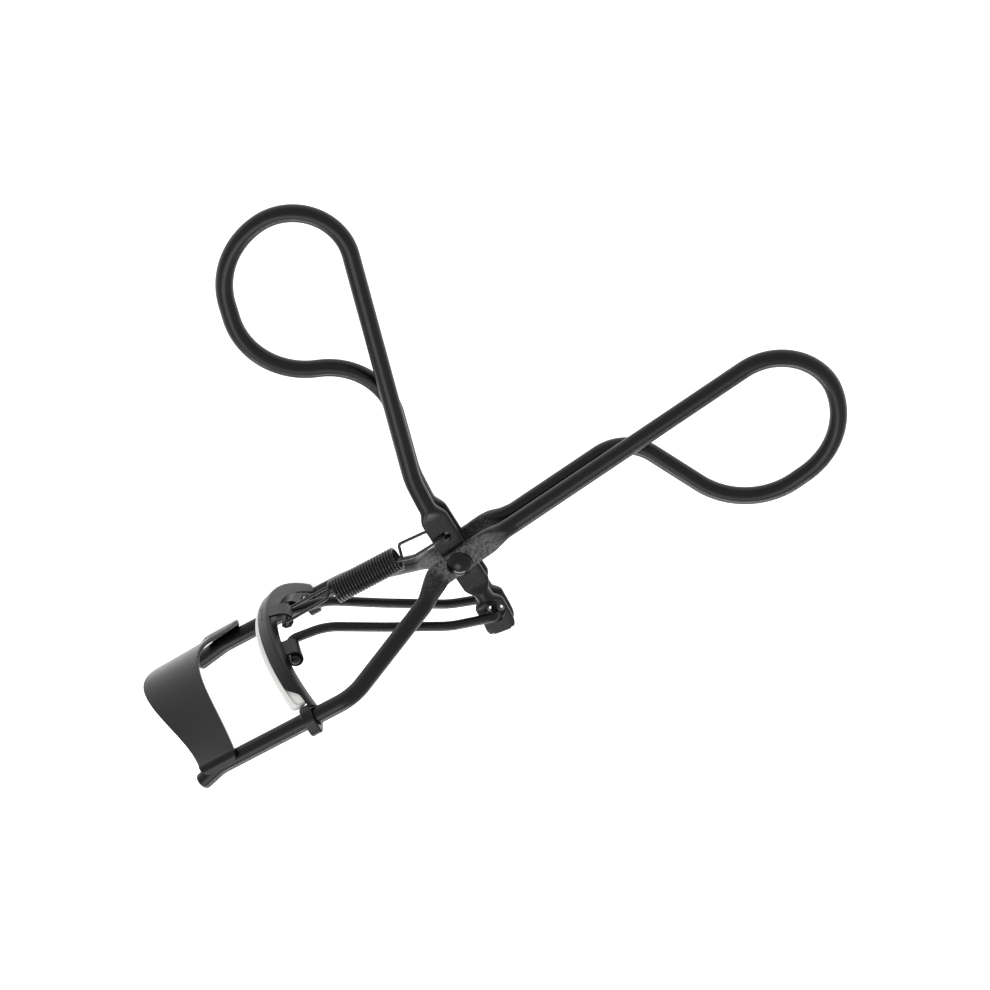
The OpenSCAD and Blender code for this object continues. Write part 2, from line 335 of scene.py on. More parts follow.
def lofted(
    name: str,
    rings: Sequence[Ring],
    press: Optional[Sequence[float]] = None,
    closed: bool = False,
) -> bpy.types.Object:
    """A closed skin over rings of equal length.

    Args:
        name: the piece's name.
        rings: points in millimetres from the rivet, ring after ring.
        press: each ring's press, kept on the points for the finish.
        closed: whether the last ring joins the first instead of being capped.

    Returns:
        The new object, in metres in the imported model's frame.
    """
    mesh = bmesh.new()
    layer = mesh.verts.layers.float.new("press")
    rows = []
    for i, ring in enumerate(rings):
        row = [mesh.verts.new((p + RIVET) * MM) for p in ring]
        for vertex in row:
            vertex[layer] = press[i] if press else 0.0
        rows.append(row)
    count = len(rows[0])
    pairs = list(zip(rows, rows[1:])) + ([(rows[-1], rows[0])] if closed else [])
    for a, b in pairs:
        for k in range(count):
            j = (k + 1) % count
            mesh.faces.new((a[k], a[j], b[j], b[k]))
    if not closed:
        mesh.faces.new(list(reversed(rows[0])))
        mesh.faces.new(rows[-1])
    return placed(name, mesh)


def applied(piece: bpy.types.Object) -> None:
    """Applies every modifier of a piece to its mesh.

    Args:
        piece: the piece, which keeps its name and place.
    """
    graph = bpy.context.evaluated_depsgraph_get()
    graph.update()
    old = piece.data
    piece.data = bpy.data.meshes.new_from_object(piece.evaluated_get(graph))
    piece.modifiers.clear()
    bpy.data.meshes.remove(old)


def bored(piece: bpy.types.Object, holes: Sequence[tuple[float, float, float]]) -> None:
    """Cuts holes along the rivet's axis through a piece.

    Args:
        piece: the piece to cut.
        holes: x, y and diameter of each hole in millimetres from the rivet.
    """
    for x, y, d in holes:
        outline = Section(d / 2, d / 2).outline(48)
        rings = [
            [Vector((x + a, y + b, z)) for a, b in outline]
            for z in (-DRILL_REACH, DRILL_REACH)
        ]
        cut_or_joined(piece, lofted("drill", rings), Joining.CUT)


def cut_or_joined(
    piece: bpy.types.Object, other: bpy.types.Object, way: Joining
) -> None:
    """Cuts another body from a piece or joins it to the piece, and removes it.

    Args:
        piece: the piece that stays.
        other: the body that is used up.
        way: whether the body is cut away or joined.
    """
    change = piece.modifiers.new("solid", "BOOLEAN")
    change.object, change.operation, change.solver = other, way.value, "EXACT"
    applied(piece)
    bpy.data.objects.remove(other)


def shaded(piece: bpy.types.Object, crease_deg: float = 40.0) -> None:
    """Smooth shading with sharp edges kept.

    Args:
        piece: the piece.
        crease_deg: the angle from which an edge stays sharp.
    """
    for face in piece.data.polygons:
        face.use_smooth = True
    piece.data.set_sharp_from_angle(angle=math.radians(crease_deg))


# ---- finishes --------------------------------------------------------------


def linear(code: str) -> tuple[float, float, float, float]:
    """An sRGB hex colour as a linear one.

    Args:
        code: a colour such as #1a1a1b.

    Returns:
        Linear red, green, blue and alpha.
    """
    parts = [int(code[i : i + 2], 16) / 255 for i in (1, 3, 5)]
    return tuple(
        [c / 12.92 if c <= 0.04045 else ((c + 0.055) / 1.055) ** 2.4 for c in parts]
        + [1.0]
    )


def add_node(
    tree: bpy.types.NodeTree,
    kind: str,
    inputs: Optional[dict] = None,
    **settings: object,
) -> bpy.types.Node:
    """Adds a node with its settings, values and links.

    Args:
        tree: the tree that gets the node.
        kind: the node's type name.
        inputs: a value or an output socket for each input by name or number.
        settings: the node's own properties.

    Returns:
        The new node.
    """
    node = tree.nodes.new(kind)
    for name, value in settings.items():
        setattr(node, name, value)
    for key, value in (inputs or {}).items():
        if isinstance(value, bpy.types.NodeSocket):
            tree.links.new(value, node.inputs[key])
        else:
            node.inputs[key].default_value = value
    return node


def new_material(name: str) -> bpy.types.Material:
    """An empty material with nodes.

    Args:
        name: the material's name.

    Returns:
        The material, with only its output node.
    """
    material = bpy.data.materials.new(name)
    material.use_nodes = True
    material.node_tree.nodes.clear()
    add_node(material.node_tree, "ShaderNodeOutputMaterial")
    return material


def surface(material: bpy.types.Material, shader: bpy.types.Node) -> bpy.types.Material:
    """Joins a shader to a material's output.

    Args:
        material: the material.
        shader: the shader's node.

    Returns:
        The same material.
    """
    output = next(n for n in material.node_tree.nodes if n.type == "OUTPUT_MATERIAL")
    material.node_tree.links.new(shader.outputs[0], output.inputs["Surface"])
    return material


@dataclass(frozen=True)
class BlackLacquer:
    """Satin black lacquer, dipped and baked over steel.

    It gives the eye a nearly black body with a soft, long highlight and a
    faint orange peel. Where the wire was pressed, the die's rough face shows
    through as a fine speckle in the pressed colour. A light pressed colour
    also paints sheen on the flat, standing in for the lamps' reflection.
    """

    name: str
    colour: str = "#0b0b0b"
    # The die's speckle colour; set light, it also paints on the flat the sheen that the
    # lamps would give
    pressed_speckle_and_sheen_colour: str = "#222223"
    roughness: float = 0.32
    pressed_roughness: float = 0.48
    gloss: float = 0.2
    peel_mm: float = 1.4
    peel_depth: float = 0.06
    # A pressing die's texture is about 0.1 mm, drawn coarser so that it shows
    speckle_mm: float = 0.35
    speckle_depth: float = 0.5

    def material(self) -> bpy.types.Material:
        """Builds the material.

        Returns:
            The new material.
        """
        made = new_material(self.name)
        tree = made.node_tree
        place = add_node(tree, "ShaderNodeTexCoord").outputs["Object"]
        press = add_node(
            tree, "ShaderNodeAttribute", attribute_name="press"
        ).outputs["Fac"]
        peel = add_node(
            tree, "ShaderNodeTexNoise",
            {"Vector": place, "Scale": 1000 / self.peel_mm, "Detail": 2.0,
             "Roughness": 0.5},
        ).outputs["Fac"]
        speckle = add_node(
            tree, "ShaderNodeTexNoise",
            {"Vector": place, "Scale": 1000 / self.speckle_mm, "Detail": 3.0,
             "Roughness": 0.65},
        ).outputs["Fac"]
        spotted = add_node(
            tree, "ShaderNodeMapRange",
            {"Value": speckle, "From Min": 0.35, "From Max": 0.7, "To Min": 0.0,
             "To Max": 1.0},
        ).outputs["Result"]
        speckle_and_sheen_spots = add_node(
            tree, "ShaderNodeMath", {0: spotted, 1: press}, operation="MULTIPLY"
        ).outputs[0]
        # Spots in the pressed colour: the die's real speckle, and on the frame painted
        # sheen as well
        colour = add_node(
            tree, "ShaderNodeMix",
            {0: speckle_and_sheen_spots, 6: linear(self.colour), 7: linear(self.pressed_speckle_and_sheen_colour)},
            data_type="RGBA",
        )
        rough_peel = add_node(
            tree, "ShaderNodeMapRange",
            {"Value": peel, "To Min": self.roughness - 0.04,
             "To Max": self.roughness + 0.05},
        ).outputs["Result"]
        rough = add_node(
            tree, "ShaderNodeMix",
            {0: press, 2: rough_peel, 3: self.pressed_roughness}, data_type="FLOAT",
        ).outputs[0]
        soft = add_node(
            tree, "ShaderNodeBump",
            {"Height": peel, "Strength": self.peel_depth, "Distance": 0.0002},
        ).outputs["Normal"]
        depth = add_node(
            tree, "ShaderNodeMath", {0: press, 1: self.speckle_depth}, operation="MULTIPLY"
        ).outputs[0]
        bump = add_node(
            tree, "ShaderNodeBump",
            {"Height": speckle, "Strength": depth, "Distance": 0.0001, "Normal": soft},
        ).outputs["Normal"]
        return surface(
            made,
            add_node(
                tree, "ShaderNodeBsdfPrincipled",
                {"Base Color": colour.outputs[2], "Roughness": rough, "Normal": bump,
                 "IOR": 1.52, "Specular IOR Level": self.gloss},
            ),
        )


@dataclass(frozen=True)
class SoftSilicone:
    """Moulded white silicone rubber: matt, a little translucent at its edges."""

    name: str = "white_silicone"
    colour: str = "#f3f2f0"
    roughness: float = 0.55
    grain_mm: float = 0.5

    def material(self) -> bpy.types.Material:
        """Builds the material.

        Returns:
            The new material.
        """
        made = new_material(self.name)
        tree = made.node_tree
        place = add_node(tree, "ShaderNodeTexCoord").outputs["Object"]
        grain = add_node(
            tree, "ShaderNodeTexNoise",
            {"Vector": place, "Scale": 1000 / self.grain_mm, "Detail": 2.0},
        ).outputs["Fac"]
        bump = add_node(
            tree, "ShaderNodeBump",
            {"Height": grain, "Strength": 0.05, "Distance": 0.0001},
        ).outputs["Normal"]
        rough = add_node(
            tree, "ShaderNodeMapRange",
            {"Value": grain, "To Min": self.roughness - 0.05,
             "To Max": self.roughness + 0.05},
        ).outputs["Result"]
        return surface(
            made,
            add_node(
                tree, "ShaderNodeBsdfPrincipled",
                {"Base Color": linear(self.colour), "Roughness": rough, "Normal": bump,
                 "IOR": 1.41, "Subsurface Weight": 0.15,
                 "Subsurface Radius": (1.0, 0.9, 0.8),
                 "Subsurface Scale": 0.0006},
            ),
        )


@dataclass(frozen=True)
class SpringWire:
    """Drawn spring steel, blackened and oiled: dark with a tight metal glint."""

    name: str = "blackened_spring_wire"
    colour: str = "#121213"
    roughness: float = 0.28
    draw_mm: float = 0.2

    def material(self) -> bpy.types.Material:
        """Builds the material.

        Returns:
            The new material.
        """
        made = new_material(self.name)
        tree = made.node_tree
        place = add_node(tree, "ShaderNodeTexCoord").outputs["Object"]
        streak = add_node(
            tree, "ShaderNodeTexNoise",
            {"Vector": place, "Scale": 1000 / self.draw_mm, "Detail": 2.0},
        ).outputs["Fac"]
        rough = add_node(
            tree, "ShaderNodeMapRange",
            {"Value": streak, "To Min": self.roughness - 0.05,
             "To Max": self.roughness + 0.08},
        ).outputs["Result"]
        return surface(
            made,
            add_node(
                tree, "ShaderNodeBsdfPrincipled",
                {"Base Color": linear(self.colour), "Roughness": rough, "Metallic": 0.2,
                 "Specular IOR Level": 0.4},
            ),
        )


def dressed(
    piece: bpy.types.Object,
    material: bpy.types.Material,
    nodes: Sequence[str] = (),
    body: Optional[Body] = None,
) -> bpy.types.Object:
    """Gives a piece its finish, its body and the solids that it stands for.

    Args:
        piece: the piece.
        material: its finish.
        nodes: the solids that it stands for.
        body: the body that it rides on, if it rides on one.

    Returns:
        The same piece.
    """
    piece.data.materials.clear()
    piece.data.materials.append(material)
    if nodes:
        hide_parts(*nodes)
    if body:
        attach(piece, body.value)
    log.info("%s: %d faces", piece.name, len(piece.data.polygons))
    return piece


# ---- handles ---------------------------------------------------------------


@dataclass
class FixedHandle:
    """The fixed handle: finger loop, flats at the rivet and both side arms."""

    lacquer: bpy.types.Material
    wire_r: float = 1.25
    flat: Section = Section(1.8, 0.55, 5.0, 1.0)
    # Where the flat starts and ends, each from x to x
    flat_front: tuple[float, float] = (-6.4, -3.4)
    flat_rear: tuple[float, float] = (4.6, 8.2)
    end_round: float = 0.5
    facets: int = 36
    spacing: float = 0.35
    rivet_hole_d: float = 2.1
    # The far arm's tip is straighter than the near one's
    far_tip: Corner = (-46.0, -4.3, -17.7, 0)
    arm: list[Corner] = field(
        default_factory=lambda: [
            (-44.7, -4.5, 17.7, 0),
            (-41.1, -3.5, 17.7, 5),
            (-19.6, -3.5, 17.7, 6),
            (-6.6, -1.4, 6.65, 5),
            (-3.6, -0.3, 2.55, 1.5),
            (6.2, 1.0, 2.55, 3),
        ]
    )
    loop: list[Corner] = field(
        default_factory=lambda: [
            (9.6, 1.05, 1.9, 3),
            (58.1, 6.2, 0.8, 8.5),
            (57.1, -12.6, 0, 11.6),
            (37.9, -15.65, -0.9, 11.3),
            (28.8, 3.3, -1.8, 6.5),
            (9.6, 1.05, -1.9, 3),
        ]
    )

    def section(self, at: Vector) -> Section:
        """Round wire, turned into the flat near the rivet.

        Args:
            at: a point of the centre line.

        Returns:
            The section there.
        """
        share = ease(*self.flat_front, at.x) * (1 - ease(*self.flat_rear, at.x))
        return Section(self.wire_r, self.wire_r).mixed(self.flat, share)

    def build(self) -> bpy.types.Object:
        """Builds and dresses the handle.

        Returns:
            The handle.
        """
        far_arm = [*mirrored(self.arm)[:-1], self.far_tip]
        line = bent([*self.arm, *self.loop, *far_arm], self.spacing)
        up = Vector((0, 0, 1))
        rings, press = swept(line, self.section, self.facets, up, self.end_round)
        piece = lofted("fixed_handle_wire", rings, press)
        bored(piece, [(0, 0, self.rivet_hole_d)])
        shaded(piece)
        return dressed(piece, self.lacquer, ["frame_handle"], Body.FRAME)


@dataclass
class MovingHandle:
    """The moving handle: finger loop, flats, neck and the tail with its hole."""

    lacquer: bpy.types.Material
    wire_r: float = 1.25
    flat: Section = Section(2.0, 0.55, 5.0, 1.0)
    # Where the flats start and end, each from y to y
    flat_low: tuple[float, float] = (-6.3, -4.6)
    flat_high: tuple[float, float] = (7.0, 9.2)
    tail_top: tuple[float, float] = (-8.5, -7.2)
    tail_half_w: float = 2.15
    tail_end_half_w: float = 1.4
    tail_end_y: float = -13.2
    tail_corner: float = 1.2
    end_round: float = 0.25
    facets: int = 36
    spacing: float = 0.3
    holes: tuple[tuple[float, float, float], ...] = (
        (0.0, 0.0, 2.1), (0.1, 4.1, 1.7), (0.3, -10.0, 2.8),
    )
    tail: list[Corner] = field(
        default_factory=lambda: [
            (-0.4, -13.2, 1.25, 0),
            (-0.1, -11.0, 1.25, 3),
            (0.1, -7.0, 1.3, 8),
            (0.0, 0.0, 1.25, 30),
        ]
    )
    loop: list[Corner] = field(
        default_factory=lambda: [
            (0.1, 9.6, 1.3, 8),
            (0.5, 14, 1.3, 14),
            (13.7, 59.0, 0.9, 8),
            (-6, 57.0, 0.2, 11.7),
            (-11.2, 38.5, -0.5, 10.7),
            (5.4, 30.9, -1.3, 9.8),
            (0.5, 14, -1.3, 14),
            (0.1, 9.6, -1.3, 8),
        ]
    )

    def section(self, at: Vector) -> Section:
        """Round wire, pressed flat at the rivet and again at the tail.

        Args:
            at: a point of the centre line.

        Returns:
            The section there.
        """
        at_rivet = ease(*self.flat_low, at.y) * (1 - ease(*self.flat_high, at.y))
        at_tail = 1 - ease(*self.tail_top, at.y)
        up = min(1.0, max(0.0, (at.y - self.tail_end_y) / self.tail_corner))
        wider = self.tail_half_w - self.tail_end_half_w
        half_w = self.tail_end_half_w + wider * math.sqrt(1 - (1 - up) ** 2)
        shape = Section(self.wire_r, self.wire_r).mixed(self.flat, at_rivet)
        return shape.mixed(replace(self.flat, half_w=half_w), at_tail)

    def build(self) -> bpy.types.Object:
        """Builds and dresses the handle.

        Returns:
            The handle.
        """
        line = bent([*self.tail, *self.loop, *mirrored(self.tail)], self.spacing)
        up = Vector((0, 0, 1))
        rings, press = swept(line, self.section, self.facets, up, self.end_round)
        piece = lofted("moving_handle_wire", rings, press)
        bored(piece, self.holes)
        shaded(piece)
        return dressed(piece, self.lacquer, ["moving_handle"], Body.HANDLE)


@dataclass
class Rivet:
    """The rivet with a domed head on each side, turned about its axis."""

    lacquer: bpy.types.Material
    shank_r: float = 1.0
    head_r: float = 1.85
    head_h: float = 1.1
    stack_z: float = 3.1
    rim_h: float = 0.12
    rim_edge: float = 0.06
    rim_edge_h: float = 0.05
    tip_r: float = 0.08
    dome_steps: int = 14
    facets: int = 64

    def profile(self) -> list[tuple[float, float]]:
        """The rivet's outline on one side of the mid plane.

        Returns:
            Radius and height, from the shank to the top of the dome.
        """
        rise = self.head_h - self.rim_h
        cap_r = (self.head_r**2 + rise**2) / (2 * rise)
        half = math.asin(self.head_r / cap_r)
        top = self.stack_z + self.head_h
        angles = [half * k / self.dome_steps for k in range(self.dome_steps, 0, -1)]
        dome = [(cap_r * math.sin(a), top - cap_r * (1 - math.cos(a))) for a in angles]
        return [
            (self.shank_r, self.stack_z),
            (self.head_r - self.rim_edge, self.stack_z),
            (self.head_r, self.stack_z + self.rim_edge_h),
            *dome,
            (self.tip_r, top),
        ]

    def build(self) -> bpy.types.Object:
        """Builds and dresses the rivet.

        Returns:
            The rivet.
        """
        half = self.profile()
        whole = [(r, -z) for r, z in reversed(half)] + half
        rings = [
            [Vector((a, b, z)) for a, b in Section(r, r).outline(self.facets)]
            for r, z in whole
        ]
        piece = lofted("domed_rivet", rings)
        shaded(piece, 50)
        return dressed(piece, self.lacquer, ["pivot_rivet"], Body.FRAME)


# ---- plate, clamp and pad --------------------------------------------------


@dataclass(frozen=True)
class PlateEdge:
    """One long edge of the plate: its crest, its ends and how it waves between."""

    crest_x: float
    crest_y: float
    end_x: float
    end_y: float
    wave: float
    drawn_in: float

    def mixed(self, other: "PlateEdge", share: float) -> "PlateEdge":
        """This edge turned towards another.

        Args:
            other: the edge to turn towards.
            share: how far, from 0 to 1.

        Returns:
            The edge between.
        """
        pairs = zip(self.__dict__.values(), other.__dict__.values())
        return PlateEdge(*(a * (1 - share) + b * share for a, b in pairs))

    def fall(self, s: float) -> float:
        """How far the edge has fallen, as part wave and part bow.

        Args:
            s: the share of the half width, from 0 at the crest to 1.

        Returns:
            The share of the whole fall.
        """
        wave = (1 - math.cos(math.pi * s)) / 2
        deep = 1 - math.sqrt(1 - BOW_SHARE**2)
        bow = (1 - math.sqrt(1 - (BOW_SHARE * s) ** 2)) / deep
        return self.wave * wave + (1 - self.wave) * bow


@dataclass
class TopPlate:
    """The curved pressed plate, which wraps over and down both side arms."""

    lacquer: bpy.types.Material
    rear: PlateEdge = PlateEdge(-40.25, 4.4, -37.7, -1.75, 0.6, 0.6)
    front: PlateEdge = PlateEdge(-49.2, 4.45, -43.4, -1.85, 0.8, -1.0)
    half_w: float = 18.45
    bend_r: float = 0.85
    flange: float = 0.4
    sheet_t: float = 0.6
    edge_round: float = 0.15
    # Over 1, it gives the bends more than their share of the columns
    crowding: float = 1.5
    across: int = 140
    along: int = 24

    def middle(self, s: float, t: float) -> Vector:
        """A point of the sheet's middle.

        Args:
            s: from flange to flange, with the bends outside -1 and 1.
            t: from 0 at the rear edge to 1 at the front edge.

        Returns:
            The point in millimetres from the rivet.
        """
        edge = self.rear.mixed(self.front, t)
        u = edge.fall(min(1.0, abs(s)))
        beyond = max(0.0, abs(s) - 1.0) * self.half_w
        turned = min(beyond / self.bend_r, QUARTER)
        straight = max(0.0, beyond - self.bend_r * QUARTER)
        down = self.bend_r * (1 - math.cos(turned)) + straight
        out = self.half_w * min(1.0, abs(s)) + self.bend_r * math.sin(turned)
        share = down / (self.bend_r + self.flange)
        return Vector(
            (
                edge.crest_x
                + (edge.end_x - edge.crest_x) * u
                - edge.drawn_in * share**2,
                edge.crest_y + (edge.end_y - edge.crest_y) * u - down,
                math.copysign(out, s),
            )
        )

    def build(self) -> bpy.types.Object:
        """Builds and dresses the plate.

        Returns:
            The plate.
        """
        reach = 1 + (self.bend_r * QUARTER + self.flange) / self.half_w
        shares = []
        for i in range(self.across + 1):
            even = 2 * i / self.across - 1
            crowded = 1 - (1 - abs(even)) ** self.crowding
            shares.append(reach * math.copysign(crowded, even))
        mesh = bmesh.new()
        rows = []
        for k in range(self.along + 1):
            points = [self.middle(s, k / self.along) for s in shares]
            rows.append([mesh.verts.new((p + RIVET) * MM) for p in points])
        for a, b in zip(rows, rows[1:]):
            for i in range(self.across):
                mesh.faces.new((a[i], a[i + 1], b[i + 1], b[i]))
        piece = placed("curved_top_plate", mesh)
        thick = piece.modifiers.new("sheet", "SOLIDIFY")
        thick.thickness, thick.offset = self.sheet_t * MM, 0.0
        thick.use_even_offset = True
        edge = piece.modifiers.new("edge", "BEVEL")
        edge.width, edge.segments = self.edge_round * MM, 3
        edge.limit_method = "ANGLE"
        applied(piece)
        shaded(piece, 60)
        return dressed(piece, self.lacquer, ["top_plate"], Body.FRAME)


@dataclass
class Clamp:
    """The sliding clamp: curved channel, guide eyes, rolled tabs and silicone pad."""

    lacquer: bpy.types.Material
    silicone: bpy.types.Material
    bow_r: float = 23.0
    crest: Vector = field(default_factory=lambda: Vector((-30.85, 4.1, 0)))
    rake: float = math.radians(18.6)
    half_w: float = 1.1
    wall: float = 0.4
    snug: float = 0.02
    bend_r: float = 0.4
    lip_front: float = -1.7
    rear: float = -3.6
    lip_end: float = math.radians(40)
    # The lips taper from just before their end to just after it, in radians
    lip_taper: tuple[float, float] = (-0.05, 0.07)
    wall_end: float = math.radians(48.5)
    channel_steps: int = 96
    pad_half_w: float = 0.95
    pad_nose: float = -0.35
    pad_round: float = 0.9
    # The nose's depth as a share of the lips', and how full its round is
    nose_depth: float = 0.72
    nose_power: float = 0.8
    # How much of its width the pad loses at its very ends
    end_slimming: float = 0.5
    nose_steps: int = 14
    pad_end: float = math.radians(45.5)
    pad_steps: int = 110
    eye_at: Vector = field(default_factory=lambda: Vector((-26.35, -3.5, 17.7)))
    eye_len: float = 1.7
    eye_bore: float = 1.4
    eye_out: float = 1.98
    eye_edge: float = 0.15
    # How square the eye is over the arm and under it
    eye_powers: tuple[float, float] = (2.0, 6.0)
    eye_facets: int = 56
    foot_in: Vector = field(default_factory=lambda: Vector((-26.2, 2.1, 5.6)))
    foot_out: Vector = field(default_factory=lambda: Vector((-25.9, 1.5, 8.8)))
    tab_t: float = 0.3
    roll_bore: float = 0.88
    tab_half_w: float = 1.5
    tab_spacing: float = 0.12

    def at(self, angle: float, off: float, ahead: float) -> Vector:
        """A point near the bow.

        Args:
            angle: angle along the bow from its crest, in radians.
            off: distance outside the bow.
            ahead: distance in front of the pad's crest.

        Returns:
            The point in millimetres from the rivet.
        """
        up = Vector((-math.sin(self.rake), math.cos(self.rake), 0))
        front = Vector((-math.cos(self.rake), -math.sin(self.rake), 0))
        r = self.bow_r + off
        return (
            self.crest
            + up * (r * math.cos(angle) - self.bow_r)
            + Vector((0, 0, r * math.sin(angle)))
            + front * ahead
        )

    def channel(self) -> bpy.types.Object:
        """Builds the channel, whose lips taper off before its rear wall ends.

        Returns:
            The channel.
        """
        h, w, bend = self.half_w, self.wall, self.bend_r
        low, high = (self.lip_end + more for more in self.lip_taper)
        rings = []
        count = self.channel_steps
        for i in range(count + 1):
            angle = self.wall_end * (2 * i / count - 1)
            gone = ease(low, high, abs(angle))
            lip = self.lip_front + (self.rear + bend + self.snug - self.lip_front) * gone
            outline = [(h, lip)]
            outline += [
                (h - bend * (1 - math.cos(a)), self.rear + bend * (1 - math.sin(a)))
                for a in (QUARTER * k / ROUND_STEPS for k in range(ROUND_STEPS + 1))
            ]
            outline += [(-x, y) for x, y in reversed(outline)]
            floor = self.rear + w
            outline += [(w - h, lip), (w - h, floor), (h - w, floor), (h - w, lip)]
            rings.append([self.at(angle, off, ahead) for off, ahead in outline])
        return lofted("clamp_channel", rings)

    def eye(self, side: int) -> bpy.types.Object:
        """Builds a guide eye, round over the arm and squared under it.

        Args:
            side: 1 for the near eye and -1 for the far one.

        Returns:
            The eye's ring.
        """
        centre = Vector((self.eye_at.x, self.eye_at.y, side * self.eye_at.z))
        half, edge = self.eye_len / 2, self.eye_edge
        rings = []
        for k in range(self.eye_facets):
            turn = 2 * math.pi * k / self.eye_facets
            c, s = math.cos(turn), math.sin(turn)
            power = self.eye_powers[0 if c > 0 else 1]
            out = self.eye_out / (abs(c) ** power + abs(s) ** power) ** (1 / power)
            profile = [
                (-half, self.eye_bore), (half, self.eye_bore), (half, out - edge),
                (half - edge, out), (edge - half, out), (-half, out - edge),
            ]
            rings.append([centre + Vector((x, r * c, r * s)) for x, r in profile])
        return lofted("guide_eye", rings, closed=True)

    def rolled(
        self, path: Sequence[tuple[float, float]], start: Vector, end: Vector
    ) -> bpy.types.Object:
        """Builds a strip that follows a path across and runs straight along its width.

        Args:
            path: x and y of the strip's middle line, from the point of start.
            start: where the path lies at one side of the strip.
            end: where it lies at the other side.

        Returns:
            The strip.
        """
        line = evened([Vector((x, y, 0)) for x, y in path], self.tab_spacing)
        last = len(line) - 1
        left, right = [], []
        for i, at in enumerate(line):
            way = (line[min(i + 1, last)] - line[max(i - 1, 0)]).normalized()
            out = Vector((-way.y, way.x, 0)) * (self.tab_t / 2)
            left.append(at + out)
            right.append(at - out)
        outline = left + right[::-1]
        rings = [[place + p for p in outline] for place in (start, end)]
        return lofted("rolled_tab", rings)

    def curl(self, side: int) -> bpy.types.Object:
        """Builds a rolled tab round one of the link's feet.

        Args:
            side: 1 for the near tab and -1 for the far one.

        Returns:
            The tab, with its root in the channel's rear wall.
        """
        r = self.roll_bore + self.tab_t / 2
        # From the rear wall, tangent to the roll, and on round the foot
        lead = [(-1.5, 1.55), (-0.75, r + 0.05)]
        turns = [math.radians(a) for a in range(95, -176, -10)]
        roll = [(r * math.cos(a), r * math.sin(a)) for a in turns]
        start, end = (
            Vector((p.x, p.y, p.z * side)) for p in (self.foot_in, self.foot_out)
        )
        return self.rolled(lead + roll, start, end)

    def middle_tab(self) -> bpy.types.Object:
        """Builds the small tab over the middle, which holds the spring's front hook.

        Returns:
            The tab, with its root in the channel's outer lip.
        """
        path = [
            (-28.9, 5.85), (-27.6, 5.75), (-26.2, 5.4), (-25.4, 4.9), (-25.05, 4.2),
            (-25.2, 3.4), (-25.8, 2.95), (-26.5, 3.1), (-26.8, 3.6),
        ]
        wide = Vector((0, 0, self.tab_half_w))
        return self.rolled(path, -wide, wide)

    def build_metal(self) -> bpy.types.Object:
        """Builds and dresses the channel with its eyes and tabs as one piece.

        Returns:
            The metal of the clamp.
        """
        piece = self.channel()
        parts = [self.eye(1), self.eye(-1), self.curl(1), self.curl(-1)]
        for part in [*parts, self.middle_tab()]:
            cut_or_joined(piece, part, Joining.UNITE)
        shaded(piece, 35)
        return dressed(piece, self.lacquer, ["clamp_bar"], Body.CLAMP)

    def build_pad(self) -> bpy.types.Object:
        """Builds and dresses the pad, with a round nose and eased ends.

        Returns:
            The pad.
        """
        nose, root = self.pad_half_w, self.half_w - self.wall - self.snug
        back, neck = self.rear + self.wall, self.lip_front - 0.1
        depth, steps = self.lip_front * self.nose_depth, self.nose_steps
        outline = [(-root, back), (-root, neck)]
        outline += [
            (-nose * math.cos(a), depth * (1 - math.sin(a) ** self.nose_power))
            for a in (math.pi * k / steps for k in range(steps + 1))
        ]
        outline += [(root, neck), (root, back)]
        rings = []
        round_r = self.pad_round
        for i in range(self.pad_steps + 1):
            share = 2 * i / self.pad_steps - 1
            edge = (1 - abs(share)) * self.pad_end * self.bow_r
            less = 0.0
            if edge < round_r:
                less = round_r - math.sqrt(max(0.0, round_r**2 - (round_r - edge) ** 2))
            slimmer = 1 - self.end_slimming * less / round_r
            ring = []
            for off, ahead in outline:
                if ahead > self.lip_front:
                    ahead = ahead + self.pad_nose - less
                ring.append(self.at(share * self.pad_end, off * slimmer, ahead))
            rings.append(ring)
        piece = lofted("silicone_pad", rings)
        shaded(piece, 50)
        return dressed(piece, self.silicone, ["pad"], Body.CLAMP)

    def build(self) -> None:
        """Builds the metal clamp and its pad."""
        self.build_metal()
        self.build_pad()


# ---- link and spring -------------------------------------------------------


@dataclass
class Link:
    """The bent wire link from the handle's tail to the clamp's rolled tabs."""

    lacquer: bpy.types.Material
    wire_r: float = 0.7
    spacing: float = 0.25
    facets: int = 24
    end_round: float = 0.3
    half: list[Corner] = field(
        default_factory=lambda: [
            (-25.85, 1.4, 9.3, 0),
            (-26.4, 2.35, 4.2, 1.1),
            (-21, 1.5, 3.9, 9),
            (-13.8, -3.1, 3.6, 25),
            (-6, -7.8, 3.3, 12),
            (0.3, -10, 3, 1),
        ]
    )

    def build(self) -> bpy.types.Object:
        """Builds and dresses the link.

        Returns:
            The link.
        """
        line = bent([*self.half, *mirrored(self.half)], self.spacing)
        wire = Section(self.wire_r, self.wire_r)
        rings, press = swept(line, lambda at: wire, self.facets, None, self.end_round)
        piece = lofted("link_bent_wire", rings, press)
        shaded(piece)
        return dressed(piece, self.lacquer, ["link_wire"], Body.LINK)


